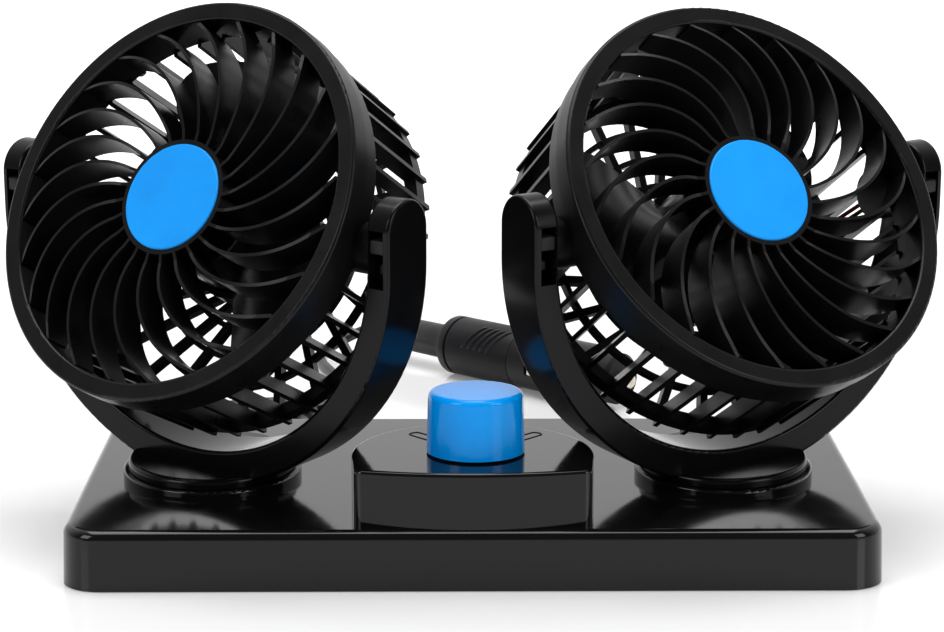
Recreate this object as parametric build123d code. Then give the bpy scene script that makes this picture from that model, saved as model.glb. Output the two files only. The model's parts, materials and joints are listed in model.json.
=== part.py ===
from build123d import *
import os
from math import acos, asin, cos, degrees, hypot, pi, radians, sin, sqrt, tan

# Dual head car fan. Millimetres, +Z up, front towards -Y.
# The origin is the middle of the adhesive pad's lower face, on the dashboard.

# Clearances
seat_clearance = 0.02
running_clearance = 0.05
part_gap = 0.3
overrun = 5.0

# Base housing
base_length = 216.6
base_depth = 124.0
base_top_z = 16.2
base_rim_z = 0.2
base_draft = 1.5
base_corner_r = 10.8
base_edge_r = 2.5
base_wall = 2.2
collar_r = 24.85
collar_top_z = 19.4
collar_edge_r = 0.7

# Control pod on the base, a D seen from above
pod_top_z = 31.2
pod_wall = 2.0
pod_half_width = 32.1
pod_side_y = -42.0
pod_back_y = -4.6
pod_corner_x = 31.2
pod_corner_y = -55.6
pod_front_y = -59.8
pod_corner_r = 2.5
pod_edge_r = 1.1

# Bottom plate, its screws and the adhesive pad
plate_gap = 0.2
plate_thickness = 1.6
pad_length = 150.0
pad_depth = 75.0
pad_thickness = 1.0
boss_r = 3.6
boss_inset_x = 9.0
boss_inset_y = 12.0
plate_screw_r = 1.2
plate_screw_head_r = 2.7
plate_screw_head_height = 1.1
plate_screw_length = 9.0
screw_slot_share = 0.33

# Rotary switch and knob
knob_x = 0.8
knob_y = -37.1
knob_bottom_z = 31.8
knob_height = 16.4
knob_r_bottom = 13.15
knob_r_top = 12.7
knob_edge_r = 1.6
knob_recess_r = 8.8
knob_recess_height = 5.4
switch_length = 21.0
switch_width = 17.0
switch_height = 12.5
bushing_r = 4.6
bushing_height = 5.0
nut_across_flats = 13.0
nut_height = 2.2
shaft_r = 3.0
shaft_flat = 2.1
shaft_top_gap = 4.0
shaft_depth = 8.0
terminal_width = 2.8
terminal_thickness = 0.8
terminal_length = 4.0
terminal_pitch = 6.0
base_wire_run_y = 12.0

# Speed resistor, on the bottom plate
resistor_length = 22.0
resistor_width = 9.5
resistor_height = 9.0
resistor_x = 40.0
resistor_y = 16.0
resistor_edge_r = 0.8

# Swivels, one near each end of the base. Their axes lean forward about the collar's top.
swivel_y = -4.6
swivel_lean = 3.43
spigot_r = 9.0
spigot_bore_r = 4.5
retainer_r = 13.0
retainer_thickness = 2.0
retainer_screw_r = 0.9
retainer_screw_head_r = 1.8
retainer_screw_head_height = 1.2
retainer_screw_length = 6.0

# Yoke, a U of two arcs with straight arms. Heights are above the dashboard, before the lean.
pivot_z = 90.2
yoke_outer_x = 68.9
yoke_outer_centre_z = 86.4
yoke_inner_x = 61.7
yoke_inner_centre_z = 88.0
yoke_width = 17.2
yoke_top_centre_z = 95.8
yoke_edge_r = 0.9
foot_r = 23.4
foot_top_z = 22.3
foot_edge_r = 1.4
pocket_bottom_z = 81.6
pocket_top_z = 97.0
pocket_wall = 0.8
pocket_width = 4.7
pocket_depth = 12.4
channel_width = 3.7
channel_depth = 10.4

# Yoke cable
cable_r = 1.5
cable_end_z = 9.4
cable_top_z = 86.4
cable_foot_bend_r = 4.5

# Fan head. Its own frame has Z running back from the front of the ring.
ring_to_axis = 15.54
ring_r = 57.3
ring_bore_r = 52.1
ring_depth = 6.5
ring_edge_r = 0.9
lip_r = 53.3
lip_depth = 1.2
vane_count = 24
vane_start_r = 18.99
vane_end_r = 49.07
vane_start_lean = 9.2
vane_sweep = 29.1
vane_inner_run = 2.6
vane_outer_run = 4.6
vane_thickness = 0.9
vane_back = 8.5
vane_foot_rise = 0.6
vane_dome_rise = 2.6
vane_dome_r = 36.0
vane_rim_rise = -0.6
hub_r = 16.5
hub_back = 7.0
hub_wall = 1.2
cap_r = 15.13
cap_proud = 1.0
cap_seat = 0.8
cap_edge_r = 0.45

# Rear cage
band_groove_r = 56.0
band_groove_depth = 0.4
band_r = 56.6
band_back = 12.0
fin_count = 40
fin_phase = 4.5
fin_thickness = 1.3
fin_depth = 4.5
fin_front_r = 55.5
fin_back_r = 54.0
cage_back = 44.0
bar_count = 24
bar_phase = 4.3
bar_offset = 8.1
bar_width = 2.2
bar_depth = 2.5
outer_ring_r = 51.6
outer_ring_bore_r = 48.3
corner_ring_r = 53.2
corner_ring_bore_r = 50.0
corner_ring_front = 39.0
corner_ring_back = 43.0
ring_radii = (40.2, 31.7, 23.2)
ring_width = 1.6
ring_height = 2.0
motor_pod_r = 17.5
motor_pod_wall = 1.6
motor_pod_front = 33.0
motor_pod_back = 51.0
boss_x = 50.5
pivot_boss_r = 6.9

# Tilt pins
pin_r = 2.65
pin_root_x = 51.5
pin_tip_x = 68.0
pin_chamfer = 0.5

# Screws that join grille and cage
housing_screw_count = 4
housing_screw_phase = 45.0
housing_screw_circle_r = 54.3
housing_screw_r = 0.9
housing_screw_head_r = 1.9
housing_screw_head_height = 1.3
housing_screw_depth = 3.0

# Motor
can_r = 12.2
can_front = 22.0
can_back = 47.0
can_wall = 1.0
end_cap_thickness = 2.2
magnet_thickness = 1.3
magnet_front_gap = 2.5
magnet_length = 16.0
magnet_span = 130.0
bush_r = 3.2
bush_length = 3.4
motor_shaft_r = 1.0
shaft_front = 14.6
shaft_back = 48.6
armature_r = 9.4
armature_front_gap = 4.0
armature_length = 14.0
armature_poles = 3
pole_gap = 2.0
pole_slot_depth = 5.0
commutator_r = 2.6
commutator_length = 4.0
lead_r = 0.6
lead_pitch = 1.8
lead_bend_r = 2.4
lead_exit_t = 48.2
lead_slot_width = 4.4
lead_gap = 0.3

# Impeller
blade_count = 3
blade_tip_r = 47.3
blade_front = 13.0
blade_back = 31.0
blade_span = 72.0
blade_root_width = 2.6
blade_tip_width = 5.2
blade_corner_r = 11.0
impeller_hub_r = 15.5
impeller_wall = 1.5
impeller_boss_r = 3.0
impeller_boss_length = 6.5
impeller_hub_edge_r = 1.0

# Swivel's X and rest position of each head: turn on the swivel, tilt up, vane phase, blade phase
sides = {
    "left": (-72.5, -36.04, 31.39, 11.49, 51.34),
    "right": (70.5, 31.43, 38.05, 11.66, 10.86),
}

# Power cord and its strain relief in the back wall
cord_r = 1.8
relief_x = -92.0
relief_z = 5.2
relief_length = 12.0
relief_wall_r = 3.9
relief_tip_r = 2.6
relief_flange_r = 4.3
relief_flange_thickness = 1.4
coil_centre = (-63.8, 96.0)
coil_outer_r = 28.2
coil_pitch = 4.1
coil_rise = 4.05
coil_turns_in = 4.0
coil_climb_turns = 0.5
coil_turns_out = 3.75
coil_start_angle = 180.0
coil_check_points = 48
lead_route = [
    (-92.0, 74.0, 5.2),
    (-92.0, 80.0, 5.2),
    (-92.0, 86.4, 1.8),
    (-92.0, 92.4, 1.8),
]

# Plug, lying on the dashboard behind the fan
plug_tail_end = (-27.3, 215.3)
plug_heading = -45.0
plug_handle_r = 10.2
plug_tail_r = 5.8
plug_tail_length = 33.0
plug_handle_length = 34.0
plug_handle_edge_r = 1.2
barrel_r = 9.9
barrel_bore_r = 7.2
barrel_length = 36.0
tip_cap_r = 8.6
tip_cap_length = 8.0
tip_cap_chamfer = 1.2
tip_skirt_length = 18.0
contact_r = 3.3
contact_tip_r = 2.6
contact_proud = 4.5
contact_flange = 1.5
contact_lip = 1.5
contact_travel = 1.8
fuse_r = 3.2
fuse_length = 25.0
spring_r = 3.4
spring_wall = 0.6
side_contact_width = 5.0
side_contact_thickness = 0.5
side_contact_length = 20.0
side_contact_proud = 1.1
side_contact_sink = 0.8
side_contact_start = 9.0
side_contact_slot_depth = 3.27


def write(node, shape):
    shape.label = node
    export_step(shape, "parts/" + node + ".step")


def group(solids):
    return Compound(children=list(solids))


def tube(outer_r, inner_r, z_low, z_high):
    ring = Circle(outer_r) - Circle(inner_r)
    return Pos(0, 0, z_low) * extrude(ring, z_high - z_low)


def rod(radius, z_low, z_high):
    return Pos(0, 0, z_low) * extrude(Circle(radius), z_high - z_low)


def rod_along_x(radius, x_low, x_high):
    return Rot(0, 90, 0) * rod(radius, x_low, x_high)


def turned(points):
    """A solid of revolution about Z from (radius, height) points."""
    outline = Polyline(*[(r, 0, z) for r, z in points], close=True)
    return revolve(make_face(outline), axis=Axis.Z)


def points_3d(point):
    return (point[0], 0, point[1])


def polar(radius, angle):
    """A point of the head, with the angle counterclockwise as the front is seen."""
    return (radius * cos(radians(angle)), -radius * sin(radians(angle)))


# Base


def rounded_plate(length, depth, corner_r, z_low, z_high, draft=0):
    outline = RectangleRounded(length, depth, corner_r)
    return Pos(0, 0, z_low) * extrude(outline, z_high - z_low, taper=draft)


def on_swivels(shape):
    """The shape at both swivels, leaning as they do."""
    return [swivel_place(swivel_x) * shape for swivel_x, *_ in sides.values()]


def swivel_place(swivel_x):
    lean = Pos(0, 0, collar_top_z) * Rot(swivel_lean, 0, 0) * Pos(0, 0, -collar_top_z)
    return Pos(swivel_x, swivel_y, 0) * lean


def pod_face():
    left_side, right_side = (-pod_half_width, pod_side_y), (pod_half_width, pod_side_y)
    left_corner, right_corner = (-pod_corner_x, pod_corner_y), (pod_corner_x, pod_corner_y)
    back = ThreePointArc(left_side, (0, pod_back_y), right_side)
    front = ThreePointArc(right_corner, (0, pod_front_y), left_corner)
    outline = back + Line(right_side, right_corner) + front + Line(left_corner, left_side)
    face = make_face(outline)
    low_y, high_y = pod_corner_y - pod_wall, pod_corner_y + pod_wall
    return fillet(face.vertices().filter_by_position(Axis.Y, low_y, high_y), pod_corner_r)


def boss_places():
    x = base_length / 2 - boss_inset_x
    y = base_depth / 2 - boss_inset_y
    return [(i * x, j * y) for i in (-1, 1) for j in (-1, 1)]


plate_low_z = pad_thickness
plate_high_z = plate_low_z + plate_thickness
roof_z = base_top_z - base_wall


def make_housing():
    shell = rounded_plate(base_length, base_depth, base_corner_r, base_rim_z, base_top_z, base_draft)
    shell = fillet(shell.faces().sort_by(Axis.Z)[-1].edges(), base_edge_r)
    pod = Pos(0, 0, roof_z) * extrude(pod_face(), pod_top_z - roof_z)
    pod = fillet(pod.faces().sort_by(Axis.Z)[-1].edges(), pod_edge_r)
    shell += pod
    collar = rod(collar_r, roof_z - overrun, collar_top_z)
    collar = fillet(collar.edges().sort_by(Axis.Z)[-1], collar_edge_r)
    shell += on_swivels(collar)
    shell -= rounded_plate(
        base_length - 2 * base_wall,
        base_depth - 2 * base_wall,
        base_corner_r - base_wall,
        base_rim_z - overrun,
        roof_z,
    )
    pod_inside = offset(pod_face(), -pod_wall)
    shell -= Pos(0, 0, roof_z - overrun) * extrude(pod_inside, pod_top_z - pod_wall - roof_z + overrun)
    for place in boss_places():
        shell += Pos(*place, 0) * tube(boss_r, plate_screw_r, plate_high_z, roof_z)
    shell += on_swivels(rod(retainer_r, spigot_low_z + part_gap, collar_top_z - part_gap))
    shell -= on_swivels(rod(spigot_r + running_clearance, spigot_low_z - overrun, collar_top_z + overrun))
    shell -= Pos(knob_x, knob_y, 0) * rod(bushing_r + seat_clearance, roof_z, pod_top_z + overrun)
    back_y = base_depth / 2
    relief_hole = rod(relief_wall_r + seat_clearance, back_y - overrun, back_y + overrun)
    return shell - Pos(relief_x, 0, relief_z) * Rot(-90, 0, 0) * relief_hole


def make_bottom_plate():
    margin = base_wall + plate_gap
    plate = rounded_plate(
        base_length - 2 * margin, base_depth - 2 * margin, base_corner_r - margin, plate_low_z, plate_high_z
    )
    for place in boss_places():
        low_z = plate_low_z - overrun
        hole = rod(plate_screw_r + seat_clearance, low_z, plate_high_z + overrun)
        sink = rod(plate_screw_head_r + seat_clearance, low_z, plate_low_z + plate_screw_head_height)
        plate -= Pos(*place, 0) * (hole + sink)
    return plate


def make_screw(radius, head_r, head_height, length):
    """A screw whose head stands on z = 0 and whose shank points up."""
    slot = Box(head_r + overrun, screw_slot_share * head_r, head_height)
    return rod(head_r, 0, head_height) + rod(radius, 0, length) - slot


def make_plate_screws():
    screw = make_screw(plate_screw_r, plate_screw_head_r, plate_screw_head_height, plate_screw_length)
    return group(Pos(*place, plate_low_z) * screw for place in boss_places())


def make_pad():
    return Pos(0, 0, pad_thickness / 2) * Box(pad_length, pad_depth, pad_thickness)


# Switch and knob

switch_top_z = pod_top_z - pod_wall
bushing_top_z = pod_top_z + bushing_height
knob_top_z = knob_bottom_z + knob_height
knob_roof_z = knob_bottom_z + knob_recess_height
shaft_top_z = knob_top_z - shaft_top_gap
switch_low_z = switch_top_z - switch_height


def make_switch_body():
    body = Pos(0, 0, switch_top_z - switch_height / 2) * Box(switch_length, switch_width, switch_height)
    body = fillet(body.edges().filter_by(Axis.Z), pod_edge_r)
    body += rod(bushing_r, switch_top_z, bushing_top_z)
    for i in (-1, 0, 1):
        low = switch_low_z - terminal_length
        tab = Box(terminal_width, terminal_thickness, terminal_length)
        body += Pos(i * terminal_pitch, 0, low + terminal_length / 2) * tab
    body -= rod(shaft_r + running_clearance, switch_top_z - shaft_depth, bushing_top_z + overrun)
    return Pos(knob_x, knob_y, 0) * body


def make_switch_nut():
    flat = RegularPolygon(nut_across_flats / 2, 6, major_radius=False)
    nut = Pos(0, 0, pod_top_z) * extrude(flat - Circle(bushing_r + seat_clearance), nut_height)
    return Pos(knob_x, knob_y, 0) * nut


def shaft_bar(clearance, z_low, z_high):
    """The round bar of the switch with a flat along one side."""
    bar = rod(shaft_r + clearance, z_low, z_high)
    cut = Pos(0, shaft_flat + clearance + shaft_r, (z_low + z_high) / 2)
    return bar - cut * Box(4 * shaft_r, 2 * shaft_r, z_high - z_low)


def make_switch_shaft():
    shaft = rod(shaft_r, switch_top_z - shaft_depth + part_gap, bushing_top_z)
    shaft += shaft_bar(0, bushing_top_z, shaft_top_z)
    return Pos(knob_x, knob_y, 0) * shaft


def make_knob():
    knob = turned(
        [(0, knob_bottom_z), (knob_r_bottom, knob_bottom_z), (knob_r_top, knob_top_z), (0, knob_top_z)]
    )
    knob = fillet(knob.edges().sort_by(Axis.Z)[-1], knob_edge_r)
    knob -= rod(knob_recess_r, knob_bottom_z - overrun, knob_roof_z)
    knob -= shaft_bar(seat_clearance, knob_roof_z - overrun, shaft_top_z + part_gap)
    return Pos(knob_x, knob_y, 0) * knob


def make_resistor():
    block = Box(resistor_length, resistor_width, resistor_height)
    block = fillet(block.edges().filter_by(Axis.X), resistor_edge_r)
    return Pos(resistor_x, resistor_y, plate_high_z + resistor_height / 2) * block


def corner_radii(points, share=0.45):
    """Each corner's largest steady bend: a share of its shorter run over the half turn's tangent."""
    places = [Vector(*p) for p in points]
    runs = [b - a for a, b in zip(places, places[1:])]
    radii = []
    for a, b in zip(runs, runs[1:]):
        half_turn = radians(a.get_angle(b)) / 2
        radii.append(share * min(a.length, b.length) / tan(half_turn))
    return radii


def tube_along(path, radius):
    start = Plane(path @ 0, z_dir=path % 0)
    return sweep(start * Circle(radius), path=path)


def routed_tube(points, radius, bend_r):
    """A tube along straight runs with bends of at most one radius."""
    radii = [min(bend_r, r) for r in corner_radii(points)]
    return tube_along(FilletPolyline(*points, radius=radii), radius)


def make_base_wires(colour_side):
    """Leads to the switch from both swivels and from the cord, over the bottom plate."""
    wire_z = plate_high_z + part_gap + lead_r
    terminal_z = switch_low_z - terminal_length - part_gap / 2
    shift = colour_side * lead_pitch / 2
    run_y = swivel_y - base_wire_run_y - colour_side * terminal_pitch
    start_y = swivel_y + (collar_top_z - cable_end_z) * sin(radians(swivel_lean))
    wires = []
    for swivel_x, *_ in sides.values():
        i = 1 if swivel_x > 0 else -1
        start_x = swivel_x + i * shift
        end_x = knob_x + i * (terminal_pitch + shift)
        route = [
            (start_x, start_y, cable_end_z - part_gap),
            (start_x, start_y, wire_z),
            (start_x - i * spigot_r, run_y, wire_z),
            (end_x, run_y, wire_z),
            (end_x, knob_y, wire_z),
            (end_x, knob_y, terminal_z),
        ]
        wires.append(routed_tube(route, lead_r, lead_bend_r))
    relief_y = base_depth / 2 - base_wall - relief_flange_thickness - part_gap
    supply_y = relief_y / 2 + shift
    route = [
        (relief_x + shift, relief_y, relief_z),
        (relief_x + shift, relief_y - boss_inset_y, wire_z),
        (relief_x + shift, supply_y, wire_z),
        (knob_x + shift, supply_y, wire_z),
        (knob_x + shift, knob_y, wire_z),
        (knob_x + shift, knob_y, terminal_z),
    ]
    wires.append(routed_tube(route, lead_r, lead_bend_r))
    return group(wires)


# Swivel parts of one yoke, in a frame on the swivel axis

foot_low_z = collar_top_z + part_gap
spigot_low_z = roof_z - part_gap - retainer_r * sin(radians(swivel_lean))
retainer_low_z = spigot_low_z - retainer_thickness
retainer_screw_circle_r = (spigot_r + spigot_bore_r) / 2
yoke_middle_x = (yoke_outer_x + yoke_inner_x) / 2
yoke_middle_centre_z = (yoke_outer_centre_z + yoke_inner_centre_z) / 2
yoke_top_z = yoke_top_centre_z + yoke_width / 2


def inside_arc(radius, centre_z):
    """The face within one arc of the U and the straight sides above it."""
    top_z = yoke_top_z + overrun
    sides = Rectangle(2 * radius, top_z - centre_z)
    return Pos(0, centre_z) * Circle(radius) + Pos(0, (centre_z + top_z) / 2) * sides


def make_strap():
    profile = inside_arc(yoke_outer_x, yoke_outer_centre_z)
    profile -= inside_arc(yoke_inner_x, yoke_inner_centre_z)
    strap = extrude(Plane.XZ * profile, yoke_width / 2, both=True)
    side = Pos(0, yoke_top_centre_z) * Circle(yoke_width / 2)
    side += Pos(0, yoke_top_centre_z / 2) * Rectangle(yoke_width, yoke_top_centre_z)
    strap &= extrude(Plane.YZ * side, yoke_outer_x + overrun, both=True)
    strap = fillet(strap.faces().filter_by(Axis.Y).edges(), yoke_edge_r)
    below = Pos(0, 0, foot_low_z - foot_r / 2) * Box(2 * foot_r, 2 * foot_r, foot_r)
    return strap - below


def channel_point(angle):
    """A point of the strap's middle arc, from its lowest point outwards."""
    turn = radians(angle)
    return (yoke_middle_x * sin(turn), yoke_middle_centre_z - yoke_middle_x * cos(turn))


channel_end_angle = degrees(acos((yoke_middle_centre_z - cable_top_z) / yoke_middle_x))


def make_yoke():
    yoke = make_strap()
    foot = rod(foot_r, foot_low_z, foot_top_z)
    foot = fillet(foot.edges().sort_by(Axis.Z)[-1], foot_edge_r)
    yoke += foot
    yoke += rod(spigot_r, spigot_low_z, foot_low_z + part_gap)
    for i in (-1, 1):
        pocket_x = yoke_inner_x + pocket_wall + pocket_width / 2
        pocket_z = (pocket_bottom_z + pocket_top_z) / 2
        pocket = Box(pocket_width, pocket_depth, pocket_top_z - pocket_bottom_z)
        yoke -= Pos(i * pocket_x, (pocket_depth - yoke_width) / 2, pocket_z) * pocket
    yoke -= Pos(0, 0, pivot_z) * rod_along_x(
        pin_r + running_clearance, -pin_tip_x - part_gap, pin_tip_x + part_gap
    )
    ends_and_middle = [channel_point(share * channel_end_angle) for share in (0, 0.5, 1)]
    yoke -= rod(spigot_bore_r, spigot_low_z - overrun, ends_and_middle[0][1])
    groove = trace(ThreePointArc(*ends_and_middle), line_width=channel_width)
    back_y = yoke_width / 2
    yoke -= Pos(0, back_y + overrun, 0) * extrude(Plane.XZ * groove, channel_depth + overrun)
    hole = rod(retainer_screw_r, spigot_low_z - overrun, spigot_low_z + retainer_screw_length)
    for i in (-1, 1):
        yoke -= Pos(i * retainer_screw_circle_r, 0, 0) * hole
    return yoke


def make_yoke_cable():
    """Up through the spigot, round a bend that meets the strap's middle arc, and up one arm."""
    join_angle = degrees(asin(cable_foot_bend_r / (yoke_middle_x + cable_foot_bend_r)))
    middle_angle = (join_angle + channel_end_angle) / 2
    joint, middle, top = [
        points_3d(channel_point(angle)) for angle in (join_angle, middle_angle, channel_end_angle)
    ]
    bend_z = joint[2] - cable_foot_bend_r * cos(radians(join_angle))
    riser = Line((0, 0, cable_end_z), (0, 0, bend_z))
    bend = TangentArc((0, 0, bend_z), joint, tangent=(0, 0, 1))
    return tube_along(riser + bend + ThreePointArc(joint, middle, top), cable_r)


def make_retainer():
    ring = tube(retainer_r, spigot_bore_r, retainer_low_z, spigot_low_z)
    for i in (-1, 1):
        hole = rod(retainer_screw_r + seat_clearance, retainer_low_z - overrun, spigot_low_z + overrun)
        ring -= Pos(i * retainer_screw_circle_r, 0, 0) * hole
    return ring


def make_retainer_screws():
    screw = make_screw(
        retainer_screw_r, retainer_screw_head_r, retainer_screw_head_height, retainer_screw_length
    )
    low_z = retainer_low_z - retainer_screw_head_height
    return group(Pos(i * retainer_screw_circle_r, 0, low_z) * screw for i in (-1, 1))


# Fan head, with Z running back from the front plane of the ring


def dome_cutter():
    """The solid in front of the vanes' domed front edge."""
    front = -vane_dome_rise - overrun
    points = [(vane_start_r, -vane_foot_rise), (vane_dome_r, -vane_dome_rise), (vane_end_r, -vane_foot_rise)]
    arc = ThreePointArc(*[(r, 0, z) for r, z in points])
    hub_corner, rim_corner = (0, 0, -vane_foot_rise), (ring_r, 0, -vane_rim_rise)
    outline = arc + Polyline(points_3d(points[-1]), (ring_bore_r, 0, -vane_rim_rise), rim_corner)
    outline += Polyline(rim_corner, (ring_r, 0, front), (0, 0, front), hub_corner, points_3d(points[0]))
    return revolve(make_face(outline), axis=Axis.Z)


def vane_band(phase):
    start = Vector(*polar(vane_start_r, phase))
    end = Vector(*polar(vane_end_r, phase + vane_sweep))
    heading = Vector(*polar(1, phase + vane_start_lean))
    arc = TangentArc(start, end, tangent=heading)
    first = Line(start - (arc % 0) * vane_inner_run, start)
    last = Line(end, end + (arc % 1) * vane_outer_run)
    return trace(first + arc + last, line_width=vane_thickness)


def screw_places():
    step = 360 / housing_screw_count
    return [polar(housing_screw_circle_r, housing_screw_phase + k * step) for k in range(housing_screw_count)]


def make_front_grille(phase):
    front_z = -vane_dome_rise - overrun
    step = 360 / vane_count
    faces = [Pos(0, 0, front_z) * vane_band(phase + k * step) for k in range(vane_count)]
    vanes = [extrude(face, vane_back - front_z) for face in faces]
    fan = Part() + vanes - dome_cutter()
    fan &= tube(ring_bore_r + hub_wall, hub_r - hub_wall, front_z, vane_back + overrun)
    ring = turned([(ring_bore_r, 0), (ring_r, 0), (ring_r, ring_depth), (ring_bore_r, ring_depth)])
    ring = fillet(ring.faces().sort_by(Axis.Z)[0].edges(), ring_edge_r)
    ring += tube(lip_r, ring_bore_r, ring_depth, vane_back)
    hub = tube(hub_r, hub_r - hub_wall, -vane_foot_rise, hub_back)
    hub += rod(hub_r, cap_seat, cap_seat + hub_wall)
    grille = fan + ring + hub
    for place in screw_places():
        grille -= Pos(*place, 0) * rod(housing_screw_r, housing_screw_depth, ring_depth + overrun)
    return grille


def make_hub_cap():
    cap = rod(cap_r, -cap_proud, cap_seat)
    return fillet(cap.edges().sort_by(Axis.Z)[0], cap_edge_r)


def make_rear_cage():
    band = turned(
        [
            (lip_r + seat_clearance, ring_depth),
            (band_groove_r, ring_depth),
            (band_groove_r, ring_depth + band_groove_depth),
            (band_r, ring_depth + band_groove_depth),
            (band_r, band_back),
            (ring_bore_r, band_back),
            (ring_bore_r, vane_back + seat_clearance),
            (lip_r + seat_clearance, vane_back + seat_clearance),
        ]
    )
    front_z = band_back - band_groove_depth
    corners = [
        (fin_front_r - fin_depth, front_z),
        (fin_front_r, front_z),
        (fin_back_r, cage_back),
        (fin_back_r - fin_depth, cage_back),
    ]
    fin_side = make_face(Polyline(*[(r, 0, z) for r, z in corners], close=True))
    fin = extrude(fin_side, fin_thickness / 2, both=True)
    fins = [Rot(0, 0, fin_phase + k * 360 / fin_count) * fin for k in range(fin_count)]
    bar_front = cage_back - bar_depth
    bar_ends = (motor_pod_r - motor_pod_wall / 2, (outer_ring_r + outer_ring_bore_r) / 2)
    bar_inner, bar_outer = [sqrt(r**2 - bar_offset**2) for r in bar_ends]
    bar = Box(bar_outer - bar_inner, bar_width, bar_depth)
    bar = Pos((bar_outer + bar_inner) / 2, -bar_offset, (bar_front + cage_back) / 2) * bar
    bars = [Rot(0, 0, k * 360 / bar_count - bar_phase) * bar for k in range(bar_count)]
    ring_front, half_width = cage_back - ring_height, ring_width / 2
    rings = [tube(r + half_width, r - half_width, ring_front, cage_back) for r in ring_radii]
    rings.append(tube(outer_ring_r, outer_ring_bore_r, bar_front, cage_back))
    rings.append(tube(corner_ring_r, corner_ring_bore_r, corner_ring_front, corner_ring_back))
    pod = tube(motor_pod_r, motor_pod_r - motor_pod_wall, motor_pod_front, motor_pod_back)
    sleeve = tube(can_r + motor_pod_wall, can_r + seat_clearance, motor_pod_front, motor_pod_back)
    lid = rod(motor_pod_r, can_back + end_cap_thickness, motor_pod_back)
    cage = band + fins + bars + rings + pod + sleeve + lid
    for i in (-1, 1):
        arm_gap_x = yoke_inner_x - part_gap
        boss = Pos(0, 0, ring_to_axis) * rod_along_x(pivot_boss_r, boss_x, arm_gap_x)
        bore = Pos(0, 0, ring_to_axis) * rod_along_x(pin_r + seat_clearance, pin_root_x, arm_gap_x + overrun)
        turn = Rot(0, 0, 90 - i * 90)
        cage = cage + turn * boss - turn * bore
    slot_front = cage_back - bar_depth - lead_gap - 2 * lead_r - lead_gap
    slot_back = lead_exit_t + lead_r + lead_gap
    slot_x = (can_r + motor_pod_r) / 2
    slot = Box(motor_pod_r - can_r + 2 * lead_gap, lead_slot_width, slot_back - slot_front)
    cage -= Pos(slot_x, 0, (slot_front + slot_back) / 2) * slot
    hole = rod(housing_screw_r + seat_clearance, ring_depth - overrun, band_back + overrun)
    for place in screw_places():
        cage -= Pos(*place, 0) * hole
    return cage


def make_housing_screws():
    screw = make_screw(
        housing_screw_r,
        housing_screw_head_r,
        housing_screw_head_height,
        housing_screw_head_height + band_back - housing_screw_depth,
    )
    flipped = Pos(0, 0, band_back + housing_screw_head_height) * Rot(180, 0, 0) * screw
    return group(Pos(*place, 0) * flipped for place in screw_places())


def make_tilt_pins():
    pin = rod_along_x(pin_r, pin_root_x, pin_tip_x)
    pin = chamfer(pin.edges().sort_by(Axis.X)[-1], pin_chamfer)
    pin = Pos(0, 0, ring_to_axis) * pin
    return group([pin, Rot(0, 0, 180) * pin])


end_cap_back = can_back + end_cap_thickness
can_bore_r = can_r - can_wall
rear_bush_front = end_cap_back - bush_length


def make_motor_can():
    can = rod(can_r, can_front, can_back) - rod(can_bore_r, can_front + can_wall, can_back + overrun)
    return can - rod(bush_r, can_front - overrun, can_front + overrun)


def make_end_cap():
    cap = rod(can_r, can_back, end_cap_back)
    return cap - rod(bush_r, can_back - overrun, end_cap_back + overrun)


def make_bushes():
    bore_r = motor_shaft_r + running_clearance
    front = tube(bush_r - seat_clearance, bore_r, can_front - can_wall, can_front - can_wall + bush_length)
    rear = tube(bush_r - seat_clearance, bore_r, rear_bush_front, end_cap_back - seat_clearance)
    return group([front, rear])


def make_magnets():
    low = can_front + can_wall + magnet_front_gap
    outer_r = can_bore_r - seat_clearance
    ring = tube(outer_r, outer_r - magnet_thickness, low, low + magnet_length)
    wedge = make_face(
        Polyline(
            (0, 0),
            (2 * can_r * cos(radians(magnet_span / 2)), -2 * can_r * sin(radians(magnet_span / 2))),
            (2 * can_r, 0),
            (2 * can_r * cos(radians(magnet_span / 2)), 2 * can_r * sin(radians(magnet_span / 2))),
            close=True,
        )
    )
    piece = ring & Pos(0, 0, low) * extrude(wedge, magnet_length)
    return group([piece, Rot(0, 0, 180) * piece])


def make_armature():
    low = can_front + can_wall + armature_front_gap
    core = tube(armature_r, motor_shaft_r, low, low + armature_length)
    for k in range(armature_poles):
        slot = Pos(armature_r - pole_slot_depth / 2, 0, low + armature_length / 2)
        slot *= Box(pole_slot_depth + part_gap, pole_gap, armature_length + overrun)
        core -= Rot(0, 0, k * 360 / armature_poles) * slot
    high = low + armature_length
    return core + tube(commutator_r, motor_shaft_r, high, high + commutator_length)


def make_motor_shaft():
    return rod(motor_shaft_r, shaft_front, shaft_back)


def make_motor_lead(side):
    """One lead from the motor's end cap, along a rear bar, to the pivot boss."""
    y = side * lead_pitch / 2
    run_t = cage_back - bar_depth - lead_gap - lead_r
    turn_x = can_r + motor_pod_wall + lead_gap + lead_r
    rim_x = corner_ring_bore_r - 4 * lead_r
    route = [
        (can_r, y, lead_exit_t),
        (turn_x, y, lead_exit_t),
        (turn_x, y, run_t),
        (rim_x, y, run_t),
        (boss_x + lead_pitch, y, ring_to_axis + pivot_boss_r),
    ]
    lead = routed_tube(route, lead_r, lead_bend_r)
    boss = Pos(0, 0, ring_to_axis) * rod_along_x(pivot_boss_r, boss_x, yoke_inner_x)
    return lead - boss


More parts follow.
